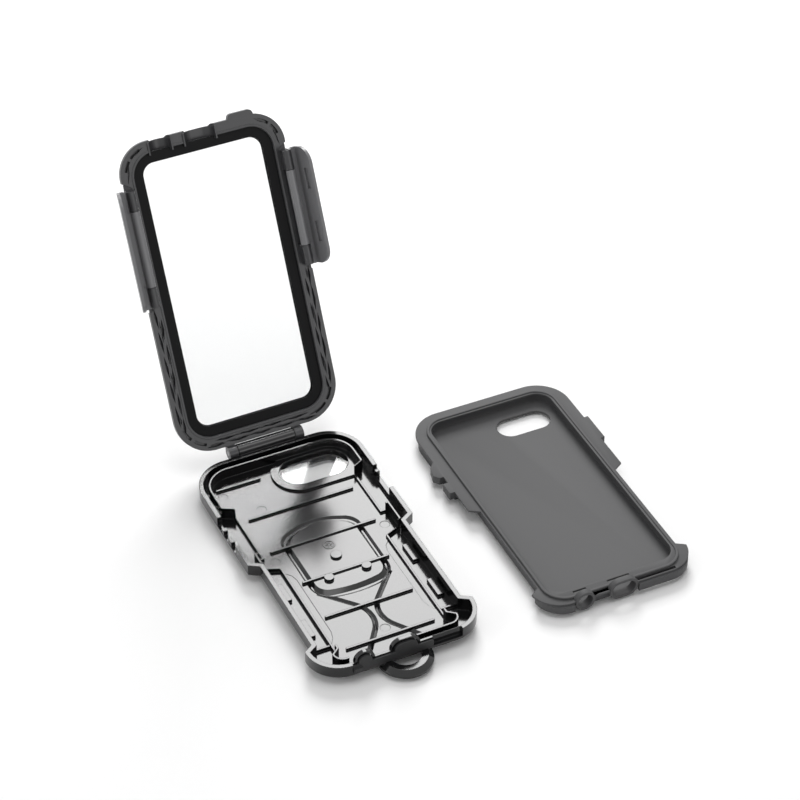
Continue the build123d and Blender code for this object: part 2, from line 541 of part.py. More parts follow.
# side latch, drawn closed on the right side
with BuildPart() as latch:
    with Locations((LATCH_X, (LUGS[0][1] + LUGS[1][0]) / 2, LATCH_Z)):
        Cylinder(LATCH_R, LATCH_KNUCKLE, rotation=(90, 0, 0))
    with BuildSketch(Plane.XZ.offset(-LUGS[0][1] + KNUCKLE_GAP)):
        Polygon((LATCH_X, LATCH_Z), (LATCH_OUT, LATCH_Z), (LATCH_OUT, LATCH_LOW),
                (LATCH_OUT - LATCH_T, LATCH_LOW), (LATCH_OUT - LATCH_T, LATCH_Z - 1.9),
                (LATCH_X, LATCH_Z - 1.9), align=None)
    extrude(amount=LATCH_KNUCKLE)
    # side leg and under leg over the full length
    with BuildSketch(Plane.XZ.offset(-LEG_FAR)):
        Polygon((LATCH_OUT, LEG_TOP), (LATCH_OUT, LATCH_LOW), (LATCH_TIP, LATCH_LOW),
                (LATCH_TIP, LATCH_LOW + LATCH_T), (LATCH_OUT - LATCH_T, LATCH_LOW + LATCH_T),
                (LATCH_OUT - LATCH_T, LEG_TOP), align=None)
    extrude(amount=LEG_FAR - LEG_NEAR)
    fillet(latch.edges().filter_by(Axis.Y).group_by(Axis.Z)[0].sort_by(Axis.X)[-1], 1.2)
    with BuildSketch(Plane.XY.offset(LATCH_LOW)):
        for y0, y1 in HOOKS:
            with Locations((HOOK_X, (y0 + y1) / 2)):
                Rectangle(HOOK_W + 2 * HOOK_GAP, y0 - y1)
    extrude(amount=LATCH_T, mode=Mode.SUBTRACT)
    fillet(latch.edges().filter_by(Axis.Z).sort_by(Axis.X)[0:2], TIP_R)
    with Locations((LATCH_X, (LUGS[0][1] + LUGS[1][0]) / 2, LATCH_Z)):
        Cylinder(LATCH_PIN_R + RUN, LATCH_KNUCKLE + 1, rotation=(90, 0, 0), mode=Mode.SUBTRACT)

with BuildPart() as latch_pin:
    with Locations((LATCH_X, (LUGS[0][0] + LUGS[1][1]) / 2, LATCH_Z)):
        Cylinder(LATCH_PIN_R, LUGS[0][0] - LUGS[1][1] - 1.0, rotation=(90, 0, 0))

# soft liner in its own frame, its seal tongue on zero
flange_edge = offset(full, amount=-LIN_EDGE, kind=Kind.INTERSECTION)
tongue_out = offset(full, amount=-RIM_T - TONGUE_GAP, kind=Kind.INTERSECTION)
tongue_in = offset(full, amount=-RIM_T - TONGUE_GAP - TONGUE_T, kind=Kind.INTERSECTION)
FLANGE_Z = LID_Z - REST_Z + TONGUE_H
with BuildPart() as silicone_liner:
    with BuildSketch(Plane.XY.offset(TONGUE_H)):
        with Locations((0, PHONE_Y)):
            RectangleRounded(PHONE_W + 2 * LIN_T, PHONE_L + 2 * LIN_T, PHONE_R + LIN_T)
    extrude(amount=LIN_H)
    with BuildSketch(Plane.XY.offset(FLANGE_Z)):
        add(flange_edge)
        add(flange_edge.moved(Location((0, LIN_NEAR, 0))), mode=Mode.INTERSECT)
    extrude(amount=-FLANGE_T)
    with BuildSketch(Plane.XY.offset(FLANGE_Z)):
        add(flange_edge)
        with Locations((0, WAIST_NEAR - HALF_W)):
            Rectangle(2 * HALF_W, 2 * HALF_W + 20, mode=Mode.SUBTRACT)
    extrude(amount=-FLANGE_T)
    # seal tongue round both ends, open at the latch bays and the cable outlets
    with BuildSketch():
        add(tongue_out)
        add(tongue_in, mode=Mode.SUBTRACT)
        with Locations((0, (WAIST_FAR + 21.0 + WAIST_NEAR - 3.0) / 2)):
            Rectangle(2 * HALF_W, WAIST_FAR + 21.0 - WAIST_NEAR + 3.0, mode=Mode.SUBTRACT)
        with Locations(((ROUND_X - ROUND_R + WIDE_X + WIDE_HALF) / 2, NEAR_Y + 3.0)):
            Rectangle(WIDE_X + WIDE_HALF - ROUND_X + ROUND_R + 2 * HOOD_GAP, 8.0, mode=Mode.SUBTRACT)
    extrude(amount=FLANGE_Z - FLANGE_T)
    # bulges over the phone's buttons
    with BuildSketch(Plane.XY.offset(FLANGE_Z)):
        with Locations((HALF_W - 3.1, FAR_Y - 43.4)):
            Rectangle(8.2, 17.4)
        with Locations((-HALF_W + 2.6, FAR_Y - 54.2)):
            Rectangle(8.2, 7.4)
        with Locations((-HALF_W, FAR_Y - 40.4)):
            Polygon((7.3, 6.6), (1.2, 6.6), (-1.8, 3.2), (-3.2, -2.7), (-1.0, -5.4), (7.3, -5.4),
                    align=None)
    extrude(amount=-BULGE_H)
    # collars that seat behind the tray's cable outlets
    with Locations((ROUND_X, NEAR_Y + OUTLET_L + COLLAR_L / 2 + 0.2, OUT_Z - REST_Z + TONGUE_H)):
        Cylinder(ROUND_R, COLLAR_L, rotation=(90, 0, 0))
    with BuildSketch(Plane.XZ.offset(-NEAR_Y - OUTLET_L - COLLAR_L - 0.2)):
        with Locations((WIDE_X, OUT_Z - REST_Z + TONGUE_H)):
            SlotOverall(2 * WIDE_HALF, 2 * ROUND_R)
    extrude(amount=COLLAR_L)
    # room for the phone and the lipped opening over it
    with BuildSketch(Plane.XY.offset(TONGUE_H + LIN_T)):
        with Locations((0, PHONE_Y)):
            RectangleRounded(PHONE_W, PHONE_L, PHONE_R)
    extrude(amount=LIN_H - LIP_T - LIN_T, mode=Mode.SUBTRACT)
    with BuildSketch(Plane.XY.offset(TONGUE_H + LIN_T)):
        with Locations((0, PHONE_Y + (LIP_NEAR - LIP_FAR) / 2)):
            RectangleRounded(PHONE_W - 2 * LIP_SIDE, PHONE_L - LIP_NEAR - LIP_FAR, PHONE_R - 2.0)
    extrude(amount=LIN_H, mode=Mode.SUBTRACT)
    with BuildSketch(Plane.XY.offset(TONGUE_H)):
        with Locations((WINDOW_C[0] - 1.8, WINDOW_C[1] - 3.9)):
            SlotOverall(28.0, 13.5)
    extrude(amount=LIN_T, mode=Mode.SUBTRACT)
    with Locations((ROUND_X, NEAR_Y + 4.0, OUT_Z - REST_Z + TONGUE_H)):
        Cylinder(BORE_R, 12.0, rotation=(90, 0, 0), mode=Mode.SUBTRACT)
    with BuildSketch(Plane.XZ.offset(-NEAR_Y - 10.0)):
        with Locations((WIDE_X, OUT_Z - REST_Z + TONGUE_H)):
            SlotOverall(2 * (WIDE_HALF - ROUND_R + BORE_R), 2 * BORE_R)
    extrude(amount=12.0, mode=Mode.SUBTRACT)
    # open slots beside the collars, behind the near edge of the flange
    with Locations(((ROUND_X + ROUND_R + WIDE_X - WIDE_HALF) / 2, NEAR_Y + 5.2, FLANGE_Z)):
        Box(WIDE_X - WIDE_HALF - ROUND_X - ROUND_R + 0.2, 1.6, 3.0, mode=Mode.SUBTRACT)
    with Locations((WIDE_X + WIDE_HALF + 10.6, NEAR_Y + 5.2, FLANGE_Z)):
        Box(20.0, 1.6, 3.0, mode=Mode.SUBTRACT)

# pieces at rest: lid and latches open, liner beside the tray
latch_axis = Axis((LATCH_X, 0, LATCH_Z), (0, 1, 0))
latch_open = latch.part.rotate(latch_axis, -LATCH_OPEN)
left_open = mirror(latch_open, about=Plane.YZ)
pin_left = mirror(latch_pin.part, about=Plane.YZ)
pieces = {
    "base_tray": base_tray.part, "camera_window": camera_window.part,
    "outlet_plug": outlet_plug.part, "hinge_pin": lid_swing(hinge_pin.part),
    "lid_frame": lid_swing(lid_frame.part), "window_film": lid_swing(window_film.part),
    "film_clamp": lid_swing(film_clamp.part), "latch_right": lid_swing(latch_open),
    "latch_left": lid_swing(left_open), "latch_pin_right": lid_swing(latch_pin.part),
    "latch_pin_left": lid_swing(pin_left),
    "silicone_liner": silicone_liner.part.rotate(Axis.Z, LINER_TURN).translate((*LINER_AT, 0))}
for name, piece in pieces.items():
    piece.label = name
    print(name, len(piece.solids()), round(piece.volume), piece.bounding_box())
    export_step(piece, f"parts/{name}.step")
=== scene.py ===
# %% [markdown]
# # A waterproof phone case, opened, with its soft liner beside it
# The solids of the case come in as a fixed frame. This notebook gives them the finishes of
# the real product, and models the lid and the liner again, whose fine forms a plain solid
# leaves out. It lights the whole as a product photographer would: on a white ground, with a
# bright panel behind the case and weaker ones above it, in front and at its left.

# %% Load the frame
import json
from math import cos, pi, radians, sin

import bmesh
import bpy
from mathutils import Matrix, Vector


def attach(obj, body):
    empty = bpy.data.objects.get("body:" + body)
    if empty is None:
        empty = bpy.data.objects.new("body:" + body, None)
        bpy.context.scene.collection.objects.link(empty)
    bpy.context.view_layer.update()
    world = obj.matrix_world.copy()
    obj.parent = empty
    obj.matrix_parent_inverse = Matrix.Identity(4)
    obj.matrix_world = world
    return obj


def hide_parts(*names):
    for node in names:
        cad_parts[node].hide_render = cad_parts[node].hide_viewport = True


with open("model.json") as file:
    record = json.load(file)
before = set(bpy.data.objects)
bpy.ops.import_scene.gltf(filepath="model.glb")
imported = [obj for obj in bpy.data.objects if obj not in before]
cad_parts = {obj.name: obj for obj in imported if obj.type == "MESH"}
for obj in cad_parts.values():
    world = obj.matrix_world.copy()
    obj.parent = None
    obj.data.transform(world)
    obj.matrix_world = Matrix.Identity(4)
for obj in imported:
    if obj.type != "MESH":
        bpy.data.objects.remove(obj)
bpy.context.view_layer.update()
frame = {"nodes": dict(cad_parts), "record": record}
MM = 0.001
scene = bpy.context.scene
print("nodes", sorted(frame["nodes"]))

# %% [markdown]
# The camera stands low on the left in front of the case. A long lens keeps the edges
# nearly parallel, so its angle matters more than its distance.

# %% Camera
SENSOR = 36.0
FRAME_PX = 800.0
FOCAL_PX = 2762.0             # focal length in pixels of the picture
LENS = FOCAL_PX / FRAME_PX * SENSOR
CAMERA_AZIMUTH = radians(-25.68)
CAMERA_HEIGHT = radians(39.27)
CAMERA_DISTANCE = 1.290
TARGET = Vector((2.67, 5.94, 4.4)) * MM
TARGET_PX = (335.0, 545.0)    # where the target lies in the picture

ground_way = Vector((-sin(CAMERA_AZIMUTH), cos(CAMERA_AZIMUTH), 0.0))
look = ground_way * cos(CAMERA_HEIGHT) - Vector((0, 0, 1)) * sin(CAMERA_HEIGHT)
right = look.cross(Vector((0, 0, 1))).normalized()
up = right.cross(look).normalized()
per_px = SENSOR / FRAME_PX / LENS * CAMERA_DISTANCE
off_right = (TARGET_PX[0] - FRAME_PX / 2) * per_px
off_up = (FRAME_PX / 2 - TARGET_PX[1]) * per_px
eye = TARGET - look * CAMERA_DISTANCE - right * off_right - up * off_up

camera_data = bpy.data.cameras.new("studio_camera")
camera_data.lens = LENS
camera_data.sensor_width = SENSOR
camera_data.clip_start = 0.05
camera_data.clip_end = 20.0
camera = bpy.data.objects.new("studio_camera", camera_data)
scene.collection.objects.link(camera)
axes = Matrix((right, up, -look)).transposed().to_4x4()
camera.matrix_world = Matrix.Translation(eye) @ axes
scene.camera = camera
print("camera at", [round(c, 3) for c in eye])

# %% [markdown]
# Colours are written as the hex values a designer would pick. One function turns them to
# the linear values that the renderer works in, and one adds a node with its settings.

# %% Colour and node helpers


def linear(hex_code):
    """Linear RGBA from an sRGB hex colour."""
    parts = [int(hex_code[i:i + 2], 16) / 255 for i in (1, 3, 5)]
    return [c / 12.92 if c <= 0.04045 else ((c + 0.055) / 1.055) ** 2.4 for c in parts] + [1.0]


def node(tree, kind, links=(), **settings):
    """Add one node. Settings name its sockets or attributes, links are (socket, source)."""
    made = tree.nodes.new(kind)
    for name, value in settings.items():
        key = name.replace("_", " ")
        socket = next((s for s in made.inputs if s.name.lower() == key.lower()), None)
        if socket is not None:
            socket.default_value = value
        else:
            setattr(made, name, value)
    for name, source in links:
        tree.links.new(source, made.inputs[name])
    return made


# %% [markdown]
# Each finish starts from a bare Principled shader. What a mould leaves on a skin is the
# same kind of thing on every piece, a fine grain and edges that are never quite sharp, so
# one function makes it. Modelled grains would cost millions of faces for the same look.

# %% Material helpers


def new_material(name):
    """A material with a bare tree: its Principled shader and its output."""
    made = bpy.data.materials.new(name)
    made.use_nodes = True
    made.node_tree.nodes.clear()
    shader = node(made.node_tree, "ShaderNodeBsdfPrincipled")
    node(made.node_tree, "ShaderNodeOutputMaterial", [("Surface", shader.outputs["BSDF"])])
    print("finish", name)
    return made, made.node_tree, shader


def mould_grain(tree, shader, grain_mm, depth_mm, edge_mm):
    """Fine relief of a moulded skin, on top of edges rounded by edge_mm."""
    place = node(tree, "ShaderNodeTexCoord")
    grain = node(tree, "ShaderNodeTexNoise", [("Vector", place.outputs["Object"])],
                 Scale=1.0 / (grain_mm * MM), Detail=2.0)
    edge = node(tree, "ShaderNodeBevel", samples=6, Radius=edge_mm * MM)
    relief = node(tree, "ShaderNodeBump", [("Height", grain.outputs["Fac"]),
                                           ("Normal", edge.outputs["Normal"])],
                  Strength=1.0, Distance=depth_mm * MM)
    tree.links.new(relief.outputs["Normal"], shader.inputs["Normal"])


# %% [markdown]
# ## Finishes
# The tray is moulded in black polycarbonate in a polished tool. Its skin is a near mirror,
# so what the eye reads as its colour is the bright panel behind it. A grey base colour
# would look alike from one side only, so the colour stays black.

# %% Polished black polycarbonate
tray_black, tree, shader = new_material("polished_black_polycarbonate")
shader.inputs["Base Color"].default_value = linear("#0c0c0d")
shader.inputs["Roughness"].default_value = 0.14
shader.inputs["IOR"].default_value = 1.52
mould_grain(tree, shader, grain_mm=1.6, depth_mm=0.004, edge_mm=0.3)

# %% [markdown]
# The lid frame is a glass filled nylon. The tool is spark eroded, which leaves an even
# satin that spreads the light, so its own dark grey shows more than any reflection.

# %% Satin dark grey nylon
lid_grey, tree, shader = new_material("satin_grey_nylon")
shader.inputs["Base Color"].default_value = linear("#303032")
shader.inputs["Roughness"].default_value = 0.34
shader.inputs["IOR"].default_value = 1.53
mould_grain(tree, shader, grain_mm=0.5, depth_mm=0.01, edge_mm=0.3)

# %% [markdown]
# The latches are the lid's satin nylon with a lighter grey painted in. That lighter grey is
# painted light: it stands in for the light from the left that falls on their faces.

# %% Latch nylon, its lighter grey painted light
painted_lit_latch_grey, tree, shader = new_material("satin_nylon_painted_lit")
# lighter grey painted in for the light from the left on the latches' faces
shader.inputs["Base Color"].default_value = linear("#727274")
shader.inputs["Roughness"].default_value = 0.3
shader.inputs["IOR"].default_value = 1.53
mould_grain(tree, shader, grain_mm=0.5, depth_mm=0.01, edge_mm=0.3)

# %% [markdown]
# The ring that clamps the film is dead black. A rough surface alone would still turn grey
# under a white surround, so its specular level is lowered too.

# %% Black clamp ring
clamp_black, tree, shader = new_material("black_clamp_plastic")
shader.inputs["Base Color"].default_value = linear("#080809")
shader.inputs["Roughness"].default_value = 0.55
shader.inputs["Specular IOR Level"].default_value = 0.15
mould_grain(tree, shader, grain_mm=0.6, depth_mm=0.01, edge_mm=0.2)

# %% [markdown]
# The touch film is a thin sheet of clear polyurethane. A sheet this thin hardly bends the
# light, so its index is close to that of air. Some of it is let through by alpha, because
# a full glass would throw too dark a shadow.

# %% Clear polyurethane film
clear_film, tree, shader = new_material("clear_polyurethane_film")
shader.inputs["Base Color"].default_value = linear("#e0e1e1")
shader.inputs["Roughness"].default_value = 0.05
shader.inputs["IOR"].default_value = 1.03
shader.inputs["Transmission Weight"].default_value = 1.0
shader.inputs["Alpha"].default_value = 0.6

# %% [markdown]
# The camera window is a stiff pane, thick enough to bend the light, so it has the index of
# its plastic and a perfectly smooth skin. Alpha lightens its shadow as on the film.

# %% Clear pane
clear_pane, tree, shader = new_material("clear_polycarbonate_pane")
shader.inputs["Base Color"].default_value = linear("#ffffff")
shader.inputs["Roughness"].default_value = 0.0
shader.inputs["IOR"].default_value = 1.55
shader.inputs["Transmission Weight"].default_value = 1.0
shader.inputs["Alpha"].default_value = 0.6

# %% [markdown]
# The plug of the two cable outlets is a soft black rubber, matte, with rounder edges than
# the hard plastic round it.

# %% Black plug rubber
plug_rubber, tree, shader = new_material("black_plug_rubber")
shader.inputs["Base Color"].default_value = linear("#1c1c1d")
shader.inputs["Roughness"].default_value = 0.55
mould_grain(tree, shader, grain_mm=0.4, depth_mm=0.01, edge_mm=0.5)

# %% [markdown]
# The pins are plain turned rods. Little more than their ends can be seen, so a bare metal
# without tool marks is enough.

# %% Turned steel pins
pin_steel, tree, shader = new_material("plain_steel_pin")
shader.inputs["Base Color"].default_value = linear("#8d8e90")
shader.inputs["Metallic"].default_value = 1.0
shader.inputs["Roughness"].default_value = 0.3

# %% [markdown]
# The liner is liquid silicone rubber, cured in a blasted mould. It is matte and a little
# dusty, with no mirror in it at all.

# %% Grey silicone rubber
liner_grey, tree, shader = new_material("grey_silicone_rubber")
shader.inputs["Base Color"].default_value = linear("#474748")
shader.inputs["Roughness"].default_value = 0.62
shader.inputs["IOR"].default_value = 1.41
mould_grain(tree, shader, grain_mm=0.4, depth_mm=0.012, edge_mm=0.35)

# %% [markdown]
# ## Building pieces in the closed case
# The case is easier to measure closed than open. New pieces are therefore modelled where
# they are when everything is shut, in millimetres, and one matrix for each body swings
# them to where the frame stands at rest. The angles and axes come from the joints.

# %% From the closed case to the opened one
JOINTS = {j["name"]: j for j in frame["record"]["behaviour"]["joints"]}


def turn_about(point, angle, axis):
    """A turn about an axis through a point."""
    there = Matrix.Translation(point)
    return there @ Matrix.Rotation(angle, 4, axis) @ Matrix.Translation(-point)


LATCH_X = 39.6                # pivot of the right latch in the closed case
LATCH_Z = 7.3
LID_ANGLE = radians(JOINTS["lid_hinge"]["range_deg"][1])
LATCH_ANGLE = radians(JOINTS["latch_right_hinge"]["range_deg"][1])
LID_SWING = turn_about(Vector(JOINTS["lid_hinge"]["pos_m"]), -LID_ANGLE, "X")
LATCH_TURN = turn_about(Vector((LATCH_X, 0, LATCH_Z)) * MM, -LATCH_ANGLE, "Y")
FLIP = Matrix.Scale(-1, 4, (1, 0, 0))
TO_METRES = Matrix.Scale(MM, 4)
print("lid opens by", round(LID_ANGLE / pi * 180), "degrees, latches by",
      round(LATCH_ANGLE / pi * 180))

# %% [markdown]
# Three helpers serve the added pieces. Webs and bridges are plain blocks whose edges are
# rolled, as those of moulded pieces are. A finished mesh has its creases marked while it
# is still in millimetres, and only then moves to its place in metres. Marked afterwards,
# the cut lid was shaded in fans across its flat faces.

# %% Blocks and finished pieces
CREASE = radians(30)          # an edge that turns more than this stays sharp
BLOCK_ROLL = 0.25


def box(shape, x_ends, y_ends, z_ends, roll=BLOCK_ROLL):
    """A block between the given ends, with rolled edges."""
    size = [ends[1] - ends[0] for ends in (x_ends, y_ends, z_ends)]
    middle = [(ends[1] + ends[0]) / 2 for ends in (x_ends, y_ends, z_ends)]
    place = Matrix.Translation(middle) @ Matrix.Diagonal((*size, 1.0))
    block = bmesh.ops.create_cube(shape, size=1.0, matrix=place)["verts"]
    edges = list({e for v in block for e in v.link_edges})
    bmesh.ops.bevel(shape, geom=edges, offset=roll, segments=2, profile=0.5,
                    affect="EDGES", clamp_overlap=True, material=-1)


def as_piece(shape, name, finish, body, place):
    """Finish a mesh modelled in closed millimetres as a piece on a body."""
    for face in shape.faces:
        face.smooth = True
    for edge in shape.edges:
        edge.smooth = edge.is_manifold and edge.calc_face_angle(pi) < CREASE
    bmesh.ops.transform(shape, matrix=place @ TO_METRES, verts=shape.verts)
    if place.determinant() < 0:
        bmesh.ops.reverse_faces(shape, faces=shape.faces)
    mesh = bpy.data.meshes.new(name)
    shape.to_mesh(mesh)
    shape.free()
    mesh.materials.append(finish)
    piece = bpy.data.objects.new(name, mesh)
    scene.collection.objects.link(piece)
    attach(piece, body)
    print(name, len(mesh.polygons), "faces")
    return piece


def raise_faces(shape, faces, way):
    """Extrude faces along a vector."""
    moved = bmesh.ops.extrude_face_region(shape, geom=faces)["geom"]
    bmesh.ops.translate(shape, vec=way,
                        verts=[v for v in moved if isinstance(v, bmesh.types.BMVert)])


# %% [markdown]
# ## The lid
# The moulded lid is cored out from inside: a lattice of slim rhombic pockets along its
# sides, curved pockets round its corners, and a half round hood over each cable outlet.
# The pockets could be a dark pattern, but that would stay flat from the side, so they are
# cut. First come the cutters: a circle of four sides makes a rhombus, and an upright
# rectangle spun about a corner's centre makes a curved one.

# %% Cutters for the pockets
LID_FACE = 11.6               # inner face of the closed lid
POCKET_DEPTH = 1.9
POCKET_W = 1.3
PROUD = 1.0                   # a cutter stands out of the face by this much
SPIN_STEPS = 10
cutter_shape = bmesh.new()


def pocket(x, y, length, along):
    """A rhombic pocket whose long diagonal points along the given angle."""
    place = Matrix.Translation((x, y, LID_FACE - PROUD)) @ Matrix.Rotation(along, 4, "Z")
    rhombus = bmesh.ops.create_circle(cutter_shape, cap_ends=True, segments=4, radius=0.5,
                                      matrix=place @ Matrix.Diagonal((length, POCKET_W, 1, 1)))
    raise_faces(cutter_shape, [rhombus["verts"][0].link_faces[0]], (0, 0, PROUD + POCKET_DEPTH))


def curved_pocket(x, y, radius, first, last):
    """A pocket along an arc about (x, y), between two angles in degrees."""
    place = (Matrix.Translation((x, y, 0)) @ Matrix.Rotation(radians(first), 4, "Z")
             @ Matrix.Translation((radius, 0, LID_FACE + (POCKET_DEPTH - PROUD) / 2))
             @ Matrix.Rotation(pi / 2, 4, "X")
             @ Matrix.Diagonal((POCKET_W, POCKET_DEPTH + PROUD, 1, 1)))
    profile = bmesh.ops.create_grid(cutter_shape, x_segments=1, y_segments=1, size=0.5,
                                    matrix=place)["verts"]
    bmesh.ops.spin(cutter_shape, geom=[profile[0].link_faces[0]], cent=(x, y, 0),
                   axis=(0, 0, 1), angle=radians(last - first), steps=SPIN_STEPS)


# %% [markdown]
# The rows of the lattice lean against each other, one outer and one inner, and stop where
# the corners begin. The hinge end has two straight rows.

# %% Rows and arcs of pockets
SIDE_ROWS = ((39.7, 7.0, 11.5, 3), (37.6, 13.2, 10.5, -3))  # x, first y, length, lean
SIDE_COUNT = 5
SIDE_STEP = 12.4
CORNERS = ((24.0, 59.5, 15.2), (25.8, -59.8, 13.2))         # x, y, radius
ARCS = ((17, 40), (47, 72))                                 # degrees from the side
HINGE_ROWS = ((-24.0, 75.6, 10.0, 5), (-18.0, 73.4, 9.5, 4))  # first x, y, length, count
HINGE_STEP = 12.0

for side in (1, -1):
    for step in range(SIDE_COUNT):
        for x, y, length, lean in SIDE_ROWS:
            pocket(side * x, y + step * SIDE_STEP, length, pi / 2 + side * radians(lean))
    for arc in ARCS:
        for x, y, radius in CORNERS:
            way = 1 if y > 0 else -1
            ends = [way * (90 - side * (90 - angle)) for angle in arc]
            curved_pocket(side * x, y, radius, *ends)
for x, y, length, count in HINGE_ROWS:
    for step in range(count):
        pocket(x + step * HINGE_STEP, y, length, 0.0)
print("pocket cutters", len(cutter_shape.faces), "faces")

# %% [markdown]
# A half round hood stands over each cable outlet. It could be half a tube from a spin, but
# the ends of that stay open. Here a circle is stretched to the outlet's width, given a
# wall, extruded along the outlet and cut off along its middle. The same bar without a wall
# cuts the lid free under its hood.

# %% Outlet hoods and their cutters
HOODS = ((-19.6, 0.0), (0.4, 2.3))      # middle and half flat of each outlet
HOOD_Z = 10.6                 # middle height of the outlets
HOOD_R = 5.4
HOOD_WALL = 0.7
HOOD_ENDS = (-74.7, -68.6)    # the outer end stays inside the lid's own box
HOOD_FOOT = 0.3               # the walls stop this far above the middle of the outlet
FREE_GAP = 0.3                # round the bars that cut the lid free under the hoods
FREE_ENDS = (-78.0, -69.9)
HOOD_SEGMENTS = 64
hood_shape = bmesh.new()


def stadium(shape, middle, flat, radius, ends, wall=0.0):
    """A round or flattened bar along Y over an outlet, or with a wall its upper half pipe."""
    known = set(shape.verts)
    place = Matrix.Translation((middle, ends[0], HOOD_Z)) @ Matrix.Rotation(pi / 2, 4, "X")
    rim = bmesh.ops.create_circle(shape, cap_ends=True, segments=HOOD_SEGMENTS,
                                  radius=radius, matrix=place)["verts"]
    for way in (1, -1):
        half = [v for v in rim if way * (v.co.x - middle) > 0.01]
        bmesh.ops.translate(shape, vec=(way * flat, 0, 0), verts=half)
    if wall:
        face = rim[0].link_faces[0]
        bmesh.ops.inset_region(shape, faces=[face], thickness=wall, use_boundary=True,
                               use_even_offset=True)
        bmesh.ops.delete(shape, geom=[face], context="FACES")
    skin = list({f for v in set(shape.verts) - known for f in v.link_faces})
    raise_faces(shape, skin, (0, ends[1] - ends[0], 0))
    if wall:
        made = list(set(shape.verts) - known)
        edges = list({e for v in made for e in v.link_edges})
        faces = list({f for v in made for f in v.link_faces})
        cut = bmesh.ops.bisect_plane(shape, geom=made + edges + faces,
                                     plane_co=(0, 0, HOOD_Z + HOOD_FOOT),
                                     plane_no=(0, 0, 1), clear_inner=True)["geom_cut"]
        rims = [e for e in cut if isinstance(e, bmesh.types.BMEdge)]
        bmesh.ops.holes_fill(shape, edges=rims, sides=8)


for middle, flat in HOODS:
    stadium(hood_shape, middle, flat, HOOD_R + HOOD_WALL, HOOD_ENDS, wall=HOOD_WALL)
    stadium(cutter_shape, middle, flat, HOOD_R + FREE_GAP, FREE_ENDS)
for name, part in (("hoods", hood_shape), ("cutters", cutter_shape)):
    bmesh.ops.recalc_face_normals(part, faces=part.faces)
    print(name, "open edges", sum(not e.is_manifold for e in part.edges))

# %% [markdown]
# A thin lip stands round the recess of the window. A swept tube would need a path with the
# same corners, so one function makes such a ring from a rectangle: its corners are
# bevelled, it is inset, its middle goes and the rest is raised. The liner's bead is made
# by it too.

# %% Raised lip round the window recess
LIP_HALF = (35.4, 70.55)      # half sizes of its inner side
LIP_Y = 0.35
LIP_W = 0.9
LIP_H = 0.4                   # above the lid's face, and as far into it
LIP_CORNER = 12.2
CORNER_SEGMENTS = 14


def rounded_ring(y, size, corner, width, heights):
    """A flat ring about (0, y) with rounded corners, width wide inwards from its size."""
    shape = bmesh.new()
    place = Matrix.Translation((0, y, heights[0])) @ Matrix.Diagonal((*size, 1, 1))
    bmesh.ops.create_grid(shape, x_segments=1, y_segments=1, size=0.5, matrix=place)
    bmesh.ops.bevel(shape, geom=list(shape.verts), offset=corner, segments=CORNER_SEGMENTS,
                    profile=0.5, affect="VERTICES", clamp_overlap=True, material=-1)
    bmesh.ops.inset_region(shape, faces=list(shape.faces), thickness=width,
                           use_boundary=True, use_even_offset=True)
    centre = max(shape.faces, key=lambda f: f.calc_area())
    bmesh.ops.delete(shape, geom=[centre], context="FACES")
    raise_faces(shape, list(shape.faces), (0, 0, heights[1] - heights[0]))
    bmesh.ops.recalc_face_normals(shape, faces=shape.faces)
    return shape


lip_size = (2 * (LIP_HALF[0] + LIP_W), 2 * (LIP_HALF[1] + LIP_W))
lip_shape = rounded_ring(LIP_Y, lip_size, LIP_CORNER, LIP_W,
                         (LID_FACE - LIP_H, LID_FACE + LIP_H))
print("lip open edges", sum(not e.is_manifold for e in lip_shape.edges))

# %% [markdown]
# The lid could be modelled anew, but every chamfer and lug of the fixed solid would have
# to be measured again. It is a copy of that solid instead, turned shut, with the lip
# joined on and the pockets cut out. A boolean leaves doubled points that would spoil the
# shading, so they are merged before the piece is finished.

# %% Cut the lid
MERGE = 0.002
CUT_MERGE = 0.003
FLAT = radians(0.5)           # faces that turn less than this become one


def scratch_object(shape, name):
    """A throwaway object from a mesh, for a cut."""
    mesh = bpy.data.meshes.new(name)
    shape.to_mesh(mesh)
    shape.free()
    made = bpy.data.objects.new(name, mesh)
    scene.collection.objects.link(made)
    return made


lid_shape = bmesh.new()
lid_shape.from_mesh(frame["nodes"]["lid_frame"].data)
bmesh.ops.transform(lid_shape, matrix=(LID_SWING @ TO_METRES).inverted(),
                    verts=lid_shape.verts)
bmesh.ops.remove_doubles(lid_shape, verts=lid_shape.verts, dist=MERGE)
bmesh.ops.dissolve_limit(lid_shape, angle_limit=FLAT, verts=lid_shape.verts,
                         edges=lid_shape.edges)
print("lid before the cut", round(lid_shape.calc_volume(signed=True)), "cubic millimetres")
blank = scratch_object(lid_shape, "lid_blank")
tools = [("UNION", scratch_object(lip_shape, "lip_tool")),
         ("DIFFERENCE", scratch_object(cutter_shape, "pocket_tool"))]
for operation, tool in tools:
    cut = blank.modifiers.new(operation.lower(), "BOOLEAN")
    cut.operation = operation
    cut.solver = "EXACT"
    cut.use_self = True
    cut.object = tool

# %% Finish the lid and its hoods
cut_blank = blank.evaluated_get(bpy.context.evaluated_depsgraph_get())
lid_shape = bmesh.new()
lid_shape.from_mesh(cut_blank.to_mesh())
bmesh.ops.remove_doubles(lid_shape, verts=lid_shape.verts, dist=CUT_MERGE)
bmesh.ops.dissolve_degenerate(lid_shape, edges=lid_shape.edges, dist=CUT_MERGE)
for made in (blank, *(tool for _, tool in tools)):
    bpy.data.objects.remove(made)
lid_shell = as_piece(lid_shape, "lid_shell", lid_grey, "lid", LID_SWING)
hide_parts("lid_frame")
as_piece(hood_shape, "outlet_hoods", lid_grey, "lid", LID_SWING)

# %% [markdown]
# The lid bridges the space between its two lugs on each side, behind the latch's barrel,
# and has a small shoulder beside the lug that is nearer to the hinge. Blocks do for both,
# because little more than one face of each can be seen.

